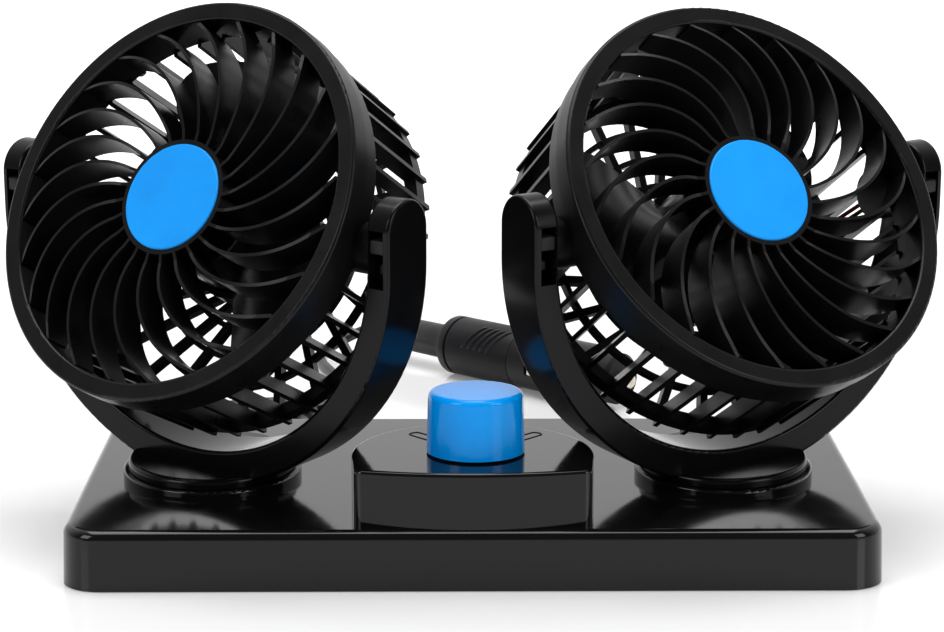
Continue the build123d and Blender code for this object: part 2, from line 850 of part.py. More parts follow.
def make_impeller(phase):
    """Three twisted blades, each from its clockwise edge, with phase the first one's angle."""
    height = blade_back - blade_front
    root_r = impeller_hub_r - impeller_wall / 2
    half_root, half_tip = blade_root_width / 2, blade_tip_width / 2
    tip_x = blade_tip_r + blade_tip_width
    section = make_face(
        Polyline((root_r, -half_root), (tip_x, -half_tip), (tip_x, half_tip), (root_r, half_root), close=True)
    )
    blade = Solid.extrude_linear_with_rotation(
        section.face(), (0, 0, 0), (0, 0, height), blade_span
    )
    blade = blade & extrude(blade_plan(), height)
    step = 360 / blade_count
    hub = tube(impeller_hub_r, impeller_hub_r - impeller_wall, 0, height)
    hub += rod(impeller_hub_r, 0, impeller_wall)
    hub = fillet(hub.edges().group_by(Axis.Z)[0], impeller_hub_edge_r)
    hub += rod(impeller_boss_r, 0, impeller_boss_length)
    wheel = hub + [Rot(0, 0, -phase - blade_span + k * step) * blade for k in range(blade_count)]
    wheel -= rod(motor_shaft_r, shaft_front - blade_front, height)
    return Pos(0, 0, blade_front) * wheel


def blade_plan():
    """A blade as the front shows it: a sector with rounded outer corners."""
    margin = degrees(blade_tip_width / 2 / blade_tip_r)
    low, high = radians(-margin), radians(blade_span + margin)
    middle = (low + high) / 2
    tip = [(blade_tip_r * cos(a), blade_tip_r * sin(a)) for a in (low, middle, high)]
    root_r = impeller_hub_r / 2
    root = [(root_r * cos(a), root_r * sin(a)) for a in (low, high)]
    outline = ThreePointArc(*tip) + Polyline(tip[-1], root[1], root[0], tip[0])
    face = make_face(outline)
    corners = [v for v in face.vertices() if hypot(v.X, v.Y) > blade_tip_r / 2]
    return fillet(corners, blade_corner_r)


# Power cord


def coil_radius(turn):
    """Centreline radius after so many turns: in at a steady rate, then out again."""
    middle = coil_turns_in + coil_climb_turns / 2
    return coil_outer_r - coil_pitch * (middle - abs(turn - middle))


def coil_height(turn):
    climb = min(max((turn - coil_turns_in) / coil_climb_turns, 0), 1)
    return cord_r + coil_rise * (3 * climb**2 - 2 * climb**3)


def coil_point(turn):
    angle = radians(coil_start_angle - 360 * turn)
    arm = coil_radius(turn) * Vector(cos(angle), sin(angle), 0)
    return Vector(*coil_centre, coil_height(turn)) + arm


def coil_heading(turn, side):
    """Unit tangent, from the side on which the turn's quarter lies."""
    step = 1 / (coil_check_points * coil_check_points)
    a, b = (turn, turn + step) if side > 0 else (turn - step, turn)
    return (coil_point(b) - coil_point(a)).normalized()


coil_turns = coil_turns_in + coil_climb_turns + coil_turns_out


def coil_headings(count):
    """Tangents at the quarter turns, level and square where the straight ends join."""
    headings = []
    for k in range(count + 1):
        turn = k / 4
        before, after = coil_heading(turn, -1), coil_heading(turn, 1)
        headings.append((before + after).normalized())
    angle_a = radians(coil_start_angle)
    angle_b = radians(coil_start_angle - 360 * coil_turns)
    headings[0] = Vector(sin(angle_a), -cos(angle_a), 0)
    headings[-1] = Vector(sin(angle_b), -cos(angle_b), 0)
    return headings


def biarc(p0, t0, p1, t1):
    """Two tangent arcs from p0 to p1 with the given unit tangents."""
    v, t = p1 - p0, t0 + t1
    v_t = v.dot(t)
    spread = 2 * (1 - t0.dot(t1))
    reach = (-v_t + sqrt(v_t**2 + spread * v.dot(v))) / spread
    q0, q1 = p0 + t0 * reach, p1 - t1 * reach
    middle = (q0 + q1) / 2
    return TangentArc(p0, middle, tangent=t0) + TangentArc(middle, p1, tangent=q1 - q0)


def coil_path():
    count = round(4 * coil_turns)
    points = [coil_point(k / 4) for k in range(count + 1)]
    headings = coil_headings(count)
    end_run = 2 * cord_r
    path = Line(points[0] - headings[0] * end_run, points[0])
    for k in range(count):
        path += biarc(points[k], headings[k], points[k + 1], headings[k + 1])
    return path + Line(points[-1], points[-1] + headings[-1] * end_run)


def coil_least_gap():
    """The least space between two turns, on points far enough apart along the cord."""
    count = round(coil_check_points * coil_turns)
    points = [coil_point(k / coil_check_points) for k in range(count + 1)]
    least = 2 * coil_outer_r
    for i, a in enumerate(points):
        for b in points[i + coil_check_points // 2 :]:
            least = min(least, (a - b).length)
    return least - 2 * cord_r


tail_route = [
    (-60.2, 123.18, 5.85),
    (-51.4, 123.18, 5.85),
    (-43.2, 127.4, 4.0),
    (-38.6, 136.6, 1.8),
    (-38.2, 150.0, 1.8),
    (-42.0, 167.0, 1.8),
    (-47.4, 184.0, 1.8),
    (-51.6, 199.0, 1.8),
    (-53.0, 212.3, 1.8),
    (-49.0, 219.5, 3.2),
    (-41.6, 223.2, 6.6),
    (-33.6, 221.6, 10.2),
    (-27.3, 215.3, 10.2),
]


def routed_cord(name, points):
    radii = corner_radii(points)
    path = FilletPolyline(*points, radius=radii)
    solid = tube_along(path, cord_r)
    section = pi * cord_r**2
    share = solid.volume / (section * path.length)
    print(name, "length", round(path.length, 1), "volume share", round(share, 4))
    print(name, "radii", [round(r, 1) for r in radii])
    return solid


def make_coil():
    path = coil_path()
    solid = tube_along(path, cord_r)
    share = solid.volume / (pi * cord_r**2 * path.length)
    print("coil length", round(path.length, 1), "volume share", round(share, 4))
    print("coil least gap", round(coil_least_gap(), 3))
    return solid


def make_relief():
    wall_inner_y = base_depth / 2 - base_wall
    back_y = base_depth / 2
    points = [
        (0, wall_inner_y - relief_flange_thickness),
        (relief_flange_r, wall_inner_y - relief_flange_thickness),
        (relief_flange_r, wall_inner_y),
        (relief_wall_r, wall_inner_y),
        (relief_wall_r, back_y),
        (relief_tip_r, back_y + relief_length),
        (0, back_y + relief_length),
    ]
    relief = Pos(relief_x, 0, relief_z) * Rot(-90, 0, 0) * turned(points)
    clear_z = plate_high_z + part_gap
    under_depth = relief_flange_thickness + overrun
    under = Box(2 * relief_flange_r + overrun, under_depth, clear_z)
    return relief - Pos(relief_x, wall_inner_y - under_depth / 2, clear_z / 2) * under


# Plug, made along Z from the end of its tail, then laid down

handle_start = plug_tail_length
barrel_start = handle_start + plug_handle_length
cap_start = barrel_start + barrel_length
plug_end = cap_start + tip_cap_length


def lay_plug(shape):
    place = Pos(plug_tail_end[0], plug_tail_end[1], plug_handle_r)
    return place * Rot(0, 0, plug_heading) * Rot(0, 90, 0) * shape


def make_plug_handle():
    tail = turned([(0, 0), (plug_tail_r, 0), (plug_tail_r, handle_start), (0, handle_start)])
    handle = rod(plug_handle_r, handle_start, barrel_start)
    handle = fillet(handle.edges().filter_by(GeomType.CIRCLE), plug_handle_edge_r)
    return tail + handle


def side_contact():
    """One sprung side contact, bowed outwards, in the XZ plane."""
    low = barrel_start + side_contact_start
    high = low + side_contact_length
    root_r = barrel_r - side_contact_sink
    top_r = barrel_r + side_contact_proud - side_contact_thickness / 2
    bow = ThreePointArc((root_r, low), (top_r, (low + high) / 2), (root_r, high))
    band = trace(bow, line_width=side_contact_thickness)
    return extrude(Plane.XZ * band, side_contact_width / 2, both=True)


def make_barrel():
    barrel = tube(barrel_r, barrel_bore_r, barrel_start, cap_start)
    barrel = chamfer(barrel.edges().group_by(Axis.Z)[-1].sort_by(SortBy.LENGTH)[-1], part_gap)
    low = barrel_start + side_contact_start - part_gap - side_contact_thickness
    high = low + side_contact_length + 2 * (part_gap + side_contact_thickness)
    slot = Box(barrel_r, side_contact_width + 2 * part_gap, high - low)
    slot = Pos(barrel_r + barrel_r / 2 - side_contact_slot_depth, 0, (low + high) / 2) * slot
    for i in (-1, 1):
        barrel -= Rot(0, 0, i * 90) * slot
    return barrel


def make_side_contacts():
    spring = side_contact()
    return group(Rot(0, 0, i * 90) * spring for i in (-1, 1))


def make_tip_cap():
    nose = rod(tip_cap_r, cap_start, plug_end)
    nose = chamfer(nose.edges().sort_by(Axis.Z)[-1], tip_cap_chamfer)
    cap = nose + rod(barrel_bore_r - seat_clearance, cap_start - tip_skirt_length, cap_start)
    cap -= rod(contact_r + running_clearance, cap_start - tip_skirt_length - overrun, plug_end - contact_lip)
    return cap - rod(contact_tip_r + running_clearance, cap_start, plug_end + overrun)


contact_back = plug_end - contact_lip - contact_flange
fuse_back = contact_back - fuse_length


def make_contact():
    flange = rod(contact_r, contact_back, plug_end - contact_lip - seat_clearance)
    pin = rod(contact_tip_r, contact_back, plug_end + contact_proud)
    return flange + fillet(pin.edges().sort_by(Axis.Z)[-1], contact_lip)


def make_fuse():
    return rod(fuse_r, fuse_back, contact_back)


def make_spring():
    return tube(spring_r, spring_r - spring_wall, barrel_start, fuse_back - contact_travel - part_gap)


def make_base():
    wires = {"base_wires_red": -1, "base_wires_black": 1}
    pieces = {
        "base_housing": make_housing(),
        "base_bottom_plate": make_bottom_plate(),
        "bottom_plate_screws": make_plate_screws(),
        "adhesive_pad": make_pad(),
        "switch_body": make_switch_body(),
        "switch_nut": make_switch_nut(),
        "switch_shaft": make_switch_shaft(),
        "knob": make_knob(),
        "speed_resistor": make_resistor(),
        "cord_strain_relief": make_relief(),
    }
    pieces.update({node: make_base_wires(side) for node, side in wires.items()})
    return pieces


def make_plug():
    pieces = {
        "plug_handle": make_plug_handle(),
        "plug_barrel": make_barrel(),
        "plug_tip_cap": make_tip_cap(),
        "plug_side_contacts": make_side_contacts(),
        "plug_centre_contact": make_contact(),
        "plug_fuse": make_fuse(),
        "plug_contact_spring": make_spring(),
    }
    return {node: lay_plug(shape) for node, shape in pieces.items()}


def make_cord():
    return {
        "power_cord_lead": routed_cord("lead", lead_route),
        "power_cord_coil": make_coil(),
        "power_cord_tail": routed_cord("tail", tail_route),
    }


yoke_pieces = {
    "yoke": make_yoke,
    "yoke_cable": make_yoke_cable,
    "swivel_retainer": make_retainer,
    "swivel_screws": make_retainer_screws,
}
head_pieces = {
    "hub_cap": make_hub_cap,
    "rear_cage": make_rear_cage,
    "housing_screws": make_housing_screws,
    "tilt_pivots": make_tilt_pins,
    "motor_can": make_motor_can,
    "motor_end_cap": make_end_cap,
    "motor_magnets": make_magnets,
    "motor_bushes": make_bushes,
    "motor_lead_red": lambda: make_motor_lead(-1),
    "motor_lead_black": lambda: make_motor_lead(1),
    "motor_shaft": make_motor_shaft,
    "armature": make_armature,
}


def main():
    os.makedirs("parts", exist_ok=True)
    for node, shape in {**make_base(), **make_plug(), **make_cord()}.items():
        write(node, shape)
    yokes = {node: make() for node, make in yoke_pieces.items()}
    heads = {node: make() for node, make in head_pieces.items()}
    for side, (swivel_x, yaw, tilt, vane_phase, blade_phase) in sides.items():
        turntable = swivel_place(swivel_x) * Rot(0, 0, yaw)
        axis = turntable * Pos(0, 0, pivot_z) * Rot(-tilt, 0, 0)
        head = axis * Pos(0, -ring_to_axis, 0) * Rot(-90, 0, 0)
        for node, shape in yokes.items():
            write(side + "_" + node, turntable * shape)
        for node, shape in heads.items():
            write(side + "_" + node, head * shape)
        write(side + "_front_grille", head * make_front_grille(vane_phase))
        write(side + "_impeller", head * make_impeller(blade_phase))


main()
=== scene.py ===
import json
import math

import bmesh
import bpy
from mathutils import Matrix, Vector


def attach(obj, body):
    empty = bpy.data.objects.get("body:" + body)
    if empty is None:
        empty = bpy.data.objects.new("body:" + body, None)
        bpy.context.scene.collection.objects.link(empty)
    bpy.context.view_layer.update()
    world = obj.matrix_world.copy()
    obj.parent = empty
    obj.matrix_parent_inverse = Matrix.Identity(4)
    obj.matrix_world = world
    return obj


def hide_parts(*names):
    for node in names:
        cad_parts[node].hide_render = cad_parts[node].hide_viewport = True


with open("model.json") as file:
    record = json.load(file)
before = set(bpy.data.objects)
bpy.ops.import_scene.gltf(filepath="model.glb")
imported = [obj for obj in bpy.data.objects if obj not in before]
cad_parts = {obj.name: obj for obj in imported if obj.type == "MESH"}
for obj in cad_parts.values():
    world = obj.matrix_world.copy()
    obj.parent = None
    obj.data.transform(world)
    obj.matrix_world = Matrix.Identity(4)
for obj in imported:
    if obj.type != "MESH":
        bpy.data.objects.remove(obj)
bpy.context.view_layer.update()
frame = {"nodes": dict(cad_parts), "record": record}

MM = 0.001
NODES = frame["nodes"]
SIDES = ("left", "right")
scene = bpy.context.scene
scene.view_settings.view_transform = "Standard"


# Camera, at the photograph's place, with its angles in degrees

CAMERA_PLACE = Vector((-6.2, -741.7, 216.7)) * MM
CAMERA_PITCH = 11.886
CAMERA_TURN = 0.49
CAMERA_LENS = 103.67
SENSOR_WIDTH = 36.0


def make_camera():
    data = bpy.data.cameras.new("camera")
    data.lens = CAMERA_LENS
    data.sensor_width = SENSOR_WIDTH
    camera = bpy.data.objects.new("camera", data)
    camera.location = CAMERA_PLACE
    camera.rotation_euler = (math.radians(90 - CAMERA_PITCH), 0, math.radians(-CAMERA_TURN))
    scene.collection.objects.link(camera)
    scene.camera = camera


# Materials


class Graph:
    """A material's node tree, with short ways to add and join nodes."""

    def __init__(self, name):
        self.material = bpy.data.materials.new(name)
        self.material.use_nodes = True
        self.tree = self.material.node_tree
        self.tree.nodes.clear()
        self.output = self.add("ShaderNodeOutputMaterial")

    def add(self, kind, **values):
        node = self.tree.nodes.new(kind)
        for key, value in values.items():
            setattr(node, key, value)
        return node

    def join(self, source, target):
        self.tree.links.new(source, target)

    def place(self):
        return self.add("ShaderNodeTexCoord").outputs["Object"]

    def noise(self, scale, detail=3.0, roughness=0.55, stretch=None):
        node = self.add("ShaderNodeTexNoise")
        node.inputs["Scale"].default_value = scale
        node.inputs["Detail"].default_value = detail
        node.inputs["Roughness"].default_value = roughness
        place = self.place()
        if stretch:
            mapping = self.add("ShaderNodeMapping")
            mapping.inputs["Scale"].default_value = stretch
            self.join(place, mapping.inputs["Vector"])
            place = mapping.outputs["Vector"]
        self.join(place, node.inputs["Vector"])
        return node.outputs["Fac"]

    def spread(self, source, low, high, start=0.3, stop=0.7):
        node = self.add("ShaderNodeMapRange")
        node.inputs["From Min"].default_value = start
        node.inputs["From Max"].default_value = stop
        node.inputs["To Min"].default_value = low
        node.inputs["To Max"].default_value = high
        self.join(source, node.inputs["Value"])
        return node.outputs["Result"]

    def blend(self, source, dark, light, start=0.3, stop=0.7):
        node = self.add("ShaderNodeValToRGB")
        ramp = node.color_ramp
        ramp.elements[0].position, ramp.elements[1].position = start, stop
        ramp.elements[0].color = (*dark, 1)
        ramp.elements[1].color = (*light, 1)
        self.join(source, node.inputs["Fac"])
        return node.outputs["Color"]

    def bump(self, source, strength, distance, normal=None):
        node = self.add("ShaderNodeBump")
        node.inputs["Strength"].default_value = strength
        node.inputs["Distance"].default_value = distance
        self.join(source, node.inputs["Height"])
        if normal:
            self.join(normal, node.inputs["Normal"])
        return node.outputs["Normal"]

    def shader(self, **values):
        node = self.add("ShaderNodeBsdfPrincipled")
        for key, value in values.items():
            node.inputs[key.replace("_", " ")].default_value = value
        self.join(node.outputs["BSDF"], self.output.inputs["Surface"])
        return node


def linear(*screen):
    """A colour written as it shows on a screen, as scene values."""
    return tuple(c / 12.92 if c <= 0.04045 else ((c + 0.055) / 1.055) ** 2.4 for c in screen)


def scaled(colour, factor):
    return tuple(min(c * factor, 1.0) for c in colour)


# Depths that the bumps stand for, in metres

GRAIN_DEPTH = 0.00004
WAVE_DEPTH = 0.0006
METAL_LINE_DEPTH = 0.00003
RUBBER_GRAIN_DEPTH = 0.00006
FOAM_PORE_DEPTH = 0.0001


def plastic(name, colour, roughness, grain=0.15, grain_scale=2600.0, wave=0.0, specular=0.3):
    """Moulded plastic: faint shade and gloss variation, a fine grain and a slow waviness."""
    graph = Graph(name)
    shader = graph.shader(Metallic=0.0, Specular_IOR_Level=specular)
    shade = graph.noise(scale=35.0, detail=4.0)
    colours = graph.blend(shade, dark=scaled(colour, 0.88), light=scaled(colour, 1.1))
    graph.join(colours, shader.inputs["Base Color"])
    gloss = graph.noise(scale=90.0, detail=5.0)
    gloss = graph.spread(gloss, low=roughness * 0.85, high=roughness * 1.2)
    graph.join(gloss, shader.inputs["Roughness"])
    normal = graph.bump(graph.noise(grain_scale, detail=2.0), grain, GRAIN_DEPTH)
    if wave:
        normal = graph.bump(graph.noise(scale=28.0, detail=1.0), wave, WAVE_DEPTH, normal)
    graph.join(normal, shader.inputs["Normal"])
    return graph.material


def metal(name, colour, roughness, stretch=None):
    """Bare metal with fine drawn or turned lines."""
    graph = Graph(name)
    shader = graph.shader(Metallic=1.0)
    lines = graph.noise(scale=900.0, detail=3.0, stretch=stretch)
    colours = graph.blend(lines, dark=scaled(colour, 0.8), light=scaled(colour, 1.1))
    graph.join(colours, shader.inputs["Base Color"])
    gloss = graph.spread(lines, low=roughness * 0.8, high=roughness * 1.3)
    graph.join(gloss, shader.inputs["Roughness"])
    normal = graph.bump(lines, strength=0.1, distance=METAL_LINE_DEPTH)
    graph.join(normal, shader.inputs["Normal"])
    return graph.material


def rubber(name, colour, roughness):
    """Flexible vinyl or rubber, also a dull solid: soft sheen with a fine extruded grain."""
    graph = Graph(name)
    shader = graph.shader(Metallic=0.0)
    shade = graph.noise(scale=120.0, detail=4.0)
    colours = graph.blend(shade, dark=scaled(colour, 0.8), light=scaled(colour, 1.15))
    graph.join(colours, shader.inputs["Base Color"])
    gloss = graph.spread(shade, low=roughness * 0.85, high=roughness * 1.15)
    graph.join(gloss, shader.inputs["Roughness"])
    grain = graph.noise(scale=3200.0, detail=3.0)
    normal = graph.bump(grain, strength=0.25, distance=RUBBER_GRAIN_DEPTH)
    graph.join(normal, shader.inputs["Normal"])
    return graph.material


def foam(name, colour):
    """Closed-cell foam tape with its pores, the pits of the pores darkened as painted shade."""
    graph = Graph(name)
    shader = graph.shader(Metallic=0.0, Roughness=0.85)
    cells = graph.add("ShaderNodeTexVoronoi")
    cells.inputs["Scale"].default_value = 1400.0
    graph.join(graph.place(), cells.inputs["Vector"])
    pore_depth_and_shade = cells.outputs["Distance"]
    # The colour darkens towards each pore's pit: painted shade in the pores, over their bump.
    colours = graph.blend(pore_depth_and_shade, dark=scaled(colour, 0.75), light=colour, start=0.0, stop=0.5)
    graph.join(colours, shader.inputs["Base Color"])
    normal = graph.bump(pore_depth_and_shade, strength=0.5, distance=FOAM_PORE_DEPTH)
    graph.join(normal, shader.inputs["Normal"])
    return graph.material


def glass(name, colour):
    """Clear glass with a faint unevenness in its gloss."""
    graph = Graph(name)
    shader = graph.shader(Metallic=0.0, IOR=1.5, Transmission_Weight=1.0)
    shader.inputs["Base Color"].default_value = (*colour, 1)
    gloss = graph.spread(graph.noise(scale=300.0), low=0.02, high=0.08)
    graph.join(gloss, shader.inputs["Roughness"])
    return graph.material


# Each slot with its kind, its colour and its look

LOOKS = {
    "shell_plastic": (
        plastic,
        linear(0.05, 0.05, 0.058),
        {"roughness": 0.1, "grain": 0.03, "wave": 0.1, "specular": 0.36},
    ),
    "yoke_plastic": (
        plastic,
        linear(0.04, 0.04, 0.046),
        {"roughness": 0.2, "grain": 0.06, "wave": 0.08, "specular": 0.18},
    ),
    "grille_plastic": (
        plastic,
        linear(0.04, 0.04, 0.046),
        {"roughness": 0.3, "grain": 0.12, "specular": 0.2},
    ),
    "cage_plastic": (
        plastic,
        linear(0.04, 0.04, 0.045),
        {"roughness": 0.3, "grain": 0.14, "specular": 0.25},
    ),
    "impeller_plastic": (
        plastic,
        linear(0.04, 0.04, 0.045),
        {"roughness": 0.22, "grain": 0.08, "specular": 0.35},
    ),
    "inner_plastic": (plastic, linear(0.1, 0.1, 0.105), {"roughness": 0.5, "grain": 0.3}),
    "knob_blue": (
        plastic,
        linear(0.0, 0.6, 1.0),
        {"roughness": 0.14, "grain": 0.04, "wave": 0.05, "specular": 0.24},
    ),
    "cap_blue": (
        plastic,
        linear(0.02, 0.585, 0.95),
        {"roughness": 0.45, "grain": 0.2, "grain_scale": 4200.0, "specular": 0.2},
    ),
    "foam_tape": (foam, linear(0.78, 0.78, 0.76), {}),
    "cord_rubber": (rubber, linear(0.1, 0.1, 0.105), {"roughness": 0.42}),
    "plug_plastic": (
        plastic,
        linear(0.055, 0.055, 0.07),
        {"roughness": 0.4, "grain": 0.3, "specular": 0.24},
    ),
    "contact_brass": (metal, linear(0.86, 0.83, 0.76), {"roughness": 0.25}),
    "screw_steel": (metal, linear(0.72, 0.72, 0.74), {"roughness": 0.3}),
    "motor_steel": (metal, linear(0.66, 0.66, 0.68), {"roughness": 0.32, "stretch": (1, 1, 6)}),
    "magnet": (rubber, linear(0.3, 0.3, 0.31), {"roughness": 0.6}),
    "fuse_glass": (glass, (0.92, 0.95, 0.95), {}),
    "ceramic": (rubber, linear(0.9, 0.89, 0.85), {"roughness": 0.7}),
    "wire_red": (rubber, linear(0.55, 0.05, 0.06), {"roughness": 0.4}),
    "wire_black": (rubber, linear(0.08, 0.08, 0.08), {"roughness": 0.4}),
}
MATERIALS = {slot: make(slot, colour, **look) for slot, (make, colour, look) in LOOKS.items()}


def dress_cad():
    """Gives every CAD node the material of its slot."""
    for part in frame["record"]["subparts"]:
        node = NODES[part["node"]]
        node.data.materials.clear()
        node.data.materials.append(MATERIALS[part["material_slot"]])


# Helpers for the pieces made here

SHARP_ANGLE = 35


def new_object(name, data, material):
    piece = bpy.data.objects.new(name, data)
    data.materials.append(MATERIALS[material])
    scene.collection.objects.link(piece)
    return piece


def finish_form(form, mesh, place):
    """Turns a form in millimetres into a mesh in metres, in its place, smooth with sharp edges."""
    bmesh.ops.recalc_face_normals(form, faces=form.faces)
    for face in form.faces:
        face.smooth = True
    form.transform(Matrix.Diagonal((MM, MM, MM, 1)) @ place)
    form.to_mesh(mesh)
    form.free()
    mesh.set_sharp_from_angle(angle=math.radians(SHARP_ANGLE))


def lathe(name, profile, place, material, steps=64):
    """A turned piece about Z from (radius, height) points in millimetres, then set in its place."""
    mesh = bpy.data.meshes.new(name)
    form = bmesh.new()
    rings = []
    for radius, height in profile:
        if radius == 0:
            rings.append([form.verts.new((0, 0, height))])
            continue
        turns = [2 * math.pi * k / steps for k in range(steps)]
        spots = [(radius * math.cos(t), radius * math.sin(t), height) for t in turns]
        rings.append([form.verts.new(spot) for spot in spots])
    for low, high in zip(rings, rings[1:]):
        for k in range(steps):
            corners = [low[k % len(low)], low[(k + 1) % len(low)]]
            corners += [high[(k + 1) % len(high)], high[k % len(high)]]
            form.faces.new(list(dict.fromkeys(corners)))
    finish_form(form, mesh, place)
    return new_object(name, mesh, material)


def skin(form, rings, closed=False):
    """Joins rings of corners with faces, and caps the two ends where the row isn't closed."""
    size = len(rings[0])
    pairs = list(zip(rings, rings[1:])) + ([(rings[-1], rings[0])] if closed else [])
    for low, high in pairs:
        for k in range(size):
            form.faces.new((low[k], low[(k + 1) % size], high[(k + 1) % size], high[k]))
    if not closed:
        form.faces.new(rings[0])
        form.faces.new(rings[-1])


def swept(name, path, section, place, material, closed=False):
    """A piece swept along points, its section given as (across, up) offsets at each point."""
    mesh = bpy.data.meshes.new(name)
    form = bmesh.new()
    rings = []
    count = len(path)
    for k, (point, up) in enumerate(path):
        before = path[k - 1][0] if k or closed else point
        after = path[(k + 1) % count][0] if k < count - 1 or closed else point
        along = (Vector(after) - Vector(before)).normalized()
        across = along.cross(Vector(up)).normalized()
        lift = across.cross(along)
        rings.append([form.verts.new(Vector(point) + across * a + lift * b) for a, b in section])
    skin(form, rings, closed)
    finish_form(form, mesh, place)
    return new_object(name, mesh, material)


def block(form, low, high, bevel):
    """A box with rounded edges between two corners, added to a form."""
    middle = (Vector(low) + Vector(high)) / 2
    sides = Vector(high) - Vector(low)
    matrix = Matrix.Translation(middle) @ Matrix.Diagonal((*sides, 1))
    made = bmesh.ops.create_cube(form, size=1, matrix=matrix)
    edges = list({edge for vert in made["verts"] for edge in vert.link_edges})
    bmesh.ops.bevel(form, geom=edges, offset=bevel, segments=3, affect="EDGES", profile=0.5)


def line_piece(name, points, radius, place, material, closed=False):
    """A thin smooth line, such as a wire or a raised outline, through points in millimetres."""
    data = bpy.data.curves.new(name, "CURVE")
    data.dimensions = "3D"
    data.bevel_depth = radius * MM
    data.bevel_resolution = 3
    data.use_fill_caps = True
    spline = data.splines.new("BEZIER")
    spline.bezier_points.add(len(points) - 1)
    for point, spot in zip(spline.bezier_points, points):
        point.co = (place @ Vector(spot)) * MM
        point.handle_left_type = point.handle_right_type = "AUTO"
    spline.use_cyclic_u = closed
    return new_object(name, data, material)


def rounded_loop(low, high, corner, steps=6):
    """Points and outward directions of a rounded rectangle in the XZ plane."""
    loop = []
    corners = [(high[0] - corner, high[1] - corner, 0), (low[0] + corner, high[1] - corner, 90)]
    corners += [(low[0] + corner, low[1] + corner, 180), (high[0] - corner, low[1] + corner, 270)]
    for x, z, start in corners:
        for k in range(steps + 1):
            angle = math.radians(start + 90 * k / steps)
            out = (math.cos(angle), 0, math.sin(angle))
            loop.append(((x + corner * out[0], 0, z + corner * out[2]), out))
    return loop


def turn_z(angle):
    return Matrix.Rotation(math.radians(angle), 4, "Z")


# Power cord, in millimetres apart from its whole length in metres

CORD_R = 1.8
COIL_CENTRE = (-63.8, 96.0)
COIL_OUTER_R = 28.2
COIL_PITCH = 4.1
COIL_RISE = 4.05
COIL_TURNS_IN = 4.0
COIL_CLIMB_TURNS = 0.5
COIL_TURNS_OUT = 3.75
COIL_POINTS_PER_TURN = 16
COIL_MIDDLE_TURN = COIL_TURNS_IN + COIL_CLIMB_TURNS / 2
COIL_TOP = 2 * CORD_R + COIL_RISE
LEAD_ROUTE = [(-92.0, 74.0, 5.2), (-92.0, 80.0, 5.2), (-92.0, 86.4, 1.8), (-92.0, 92.4, 1.8)]
TAIL_ROUTE = [
    (-60.2, 123.18, 5.85),
    (-51.4, 123.18, 5.85),
    (-43.2, 127.4, 4.0),
    (-38.6, 136.6, 1.8),
    (-38.2, 150.0, 1.8),
    (-42.0, 167.0, 1.8),
    (-47.4, 184.0, 1.8),
    (-51.6, 199.0, 1.8),
    (-53.0, 212.3, 1.8),
    (-49.0, 219.5, 3.2),
    (-41.6, 223.2, 6.6),
    (-33.6, 221.6, 10.2),
    (-27.3, 215.3, 10.2),
]


def coil_point(turn):
    """A control point of the coil: inwards below, up about the middle turn, outwards above."""
    radius = COIL_OUTER_R - COIL_PITCH * (COIL_MIDDLE_TURN - abs(turn - COIL_MIDDLE_TURN))
    radius /= math.cos(math.pi / COIL_POINTS_PER_TURN) ** 0.5
    climb = min(max((turn - COIL_TURNS_IN) / COIL_CLIMB_TURNS, 0), 1)
    height = CORD_R + COIL_RISE * (3 * climb**2 - 2 * climb**3)
    angle = math.pi - 2 * math.pi * turn
    x, y = COIL_CENTRE
    return (x + radius * math.cos(angle), y + radius * math.sin(angle), height)


def make_cord(plug_pieces):
    """The whole cord as one curve, from the strain relief by the coil to the plug's tail."""
    turns = COIL_TURNS_IN + COIL_CLIMB_TURNS + COIL_TURNS_OUT
    count = round(turns * COIL_POINTS_PER_TURN)
    coil = [coil_point(k / COIL_POINTS_PER_TURN) for k in range(count + 1)]
    route = LEAD_ROUTE[:-1] + coil + TAIL_ROUTE[1:]
    data = bpy.data.curves.new("power_cord", "CURVE")
    data.dimensions = "3D"
    data.bevel_depth = CORD_R * MM
    data.bevel_resolution = 5
    data.resolution_u = 8
    data.use_fill_caps = True
    spline = data.splines.new("NURBS")
    spline.points.add(len(route) - 1)
    for point, place in zip(spline.points, route):
        point.co = (*(Vector(place) * MM), 1)
    spline.order_u = 3
    spline.use_endpoint_u = True
    cord = new_object("power_cord", data, "cord_rubber")
    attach(cord, "base")
    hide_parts("power_cord_lead", "power_cord_coil", "power_cord_tail")


TIE_ANGLE = 40.0
TIE_WIDTH = 5.0
TIE_THICKNESS = 0.6
TIE_LOW = 0.7
TIE_SIDE_GAP = 0.3
TIE_TOP_GAP = 0.1
TIE_CORNER_R = 2.6
LAP_MARGIN = 3
LAP_RISE = 0.75
LAP_WAVE = 0.12
LAP_WAVE_RUN = 2.5


def make_coil_tie():
    """A soft strap round the coil's turns, with its end lapped over itself."""
    inner = COIL_OUTER_R - COIL_PITCH * COIL_MIDDLE_TURN - CORD_R
    outer = COIL_OUTER_R + CORD_R
    place = Matrix.Translation((*COIL_CENTRE, 0)) @ turn_z(TIE_ANGLE)
    half = TIE_WIDTH / 2
    section = [(-half, 0), (half, 0), (half, TIE_THICKNESS), (-half, TIE_THICKNESS)]
    low = (inner - TIE_SIDE_GAP, TIE_LOW)
    high = (outer + TIE_SIDE_GAP, COIL_TOP + TIE_TOP_GAP)
    loop = rounded_loop(low, high, TIE_CORNER_R)
    strap = swept("coil_tie", loop, section, place, "cord_rubber", closed=True)
    lap = []
    for x in range(round(inner) + LAP_MARGIN, round(outer) - LAP_MARGIN):
        height = COIL_TOP + LAP_RISE + LAP_WAVE * math.sin(x / LAP_WAVE_RUN)
        lap.append(((x, 0, height), (0, 0, 1)))
    end = swept("coil_tie_end", lap, section, place, "cord_rubber")
    for piece in (strap, end):
        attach(piece, "base")


# Plug, in millimetres along its own axis from the tail's end

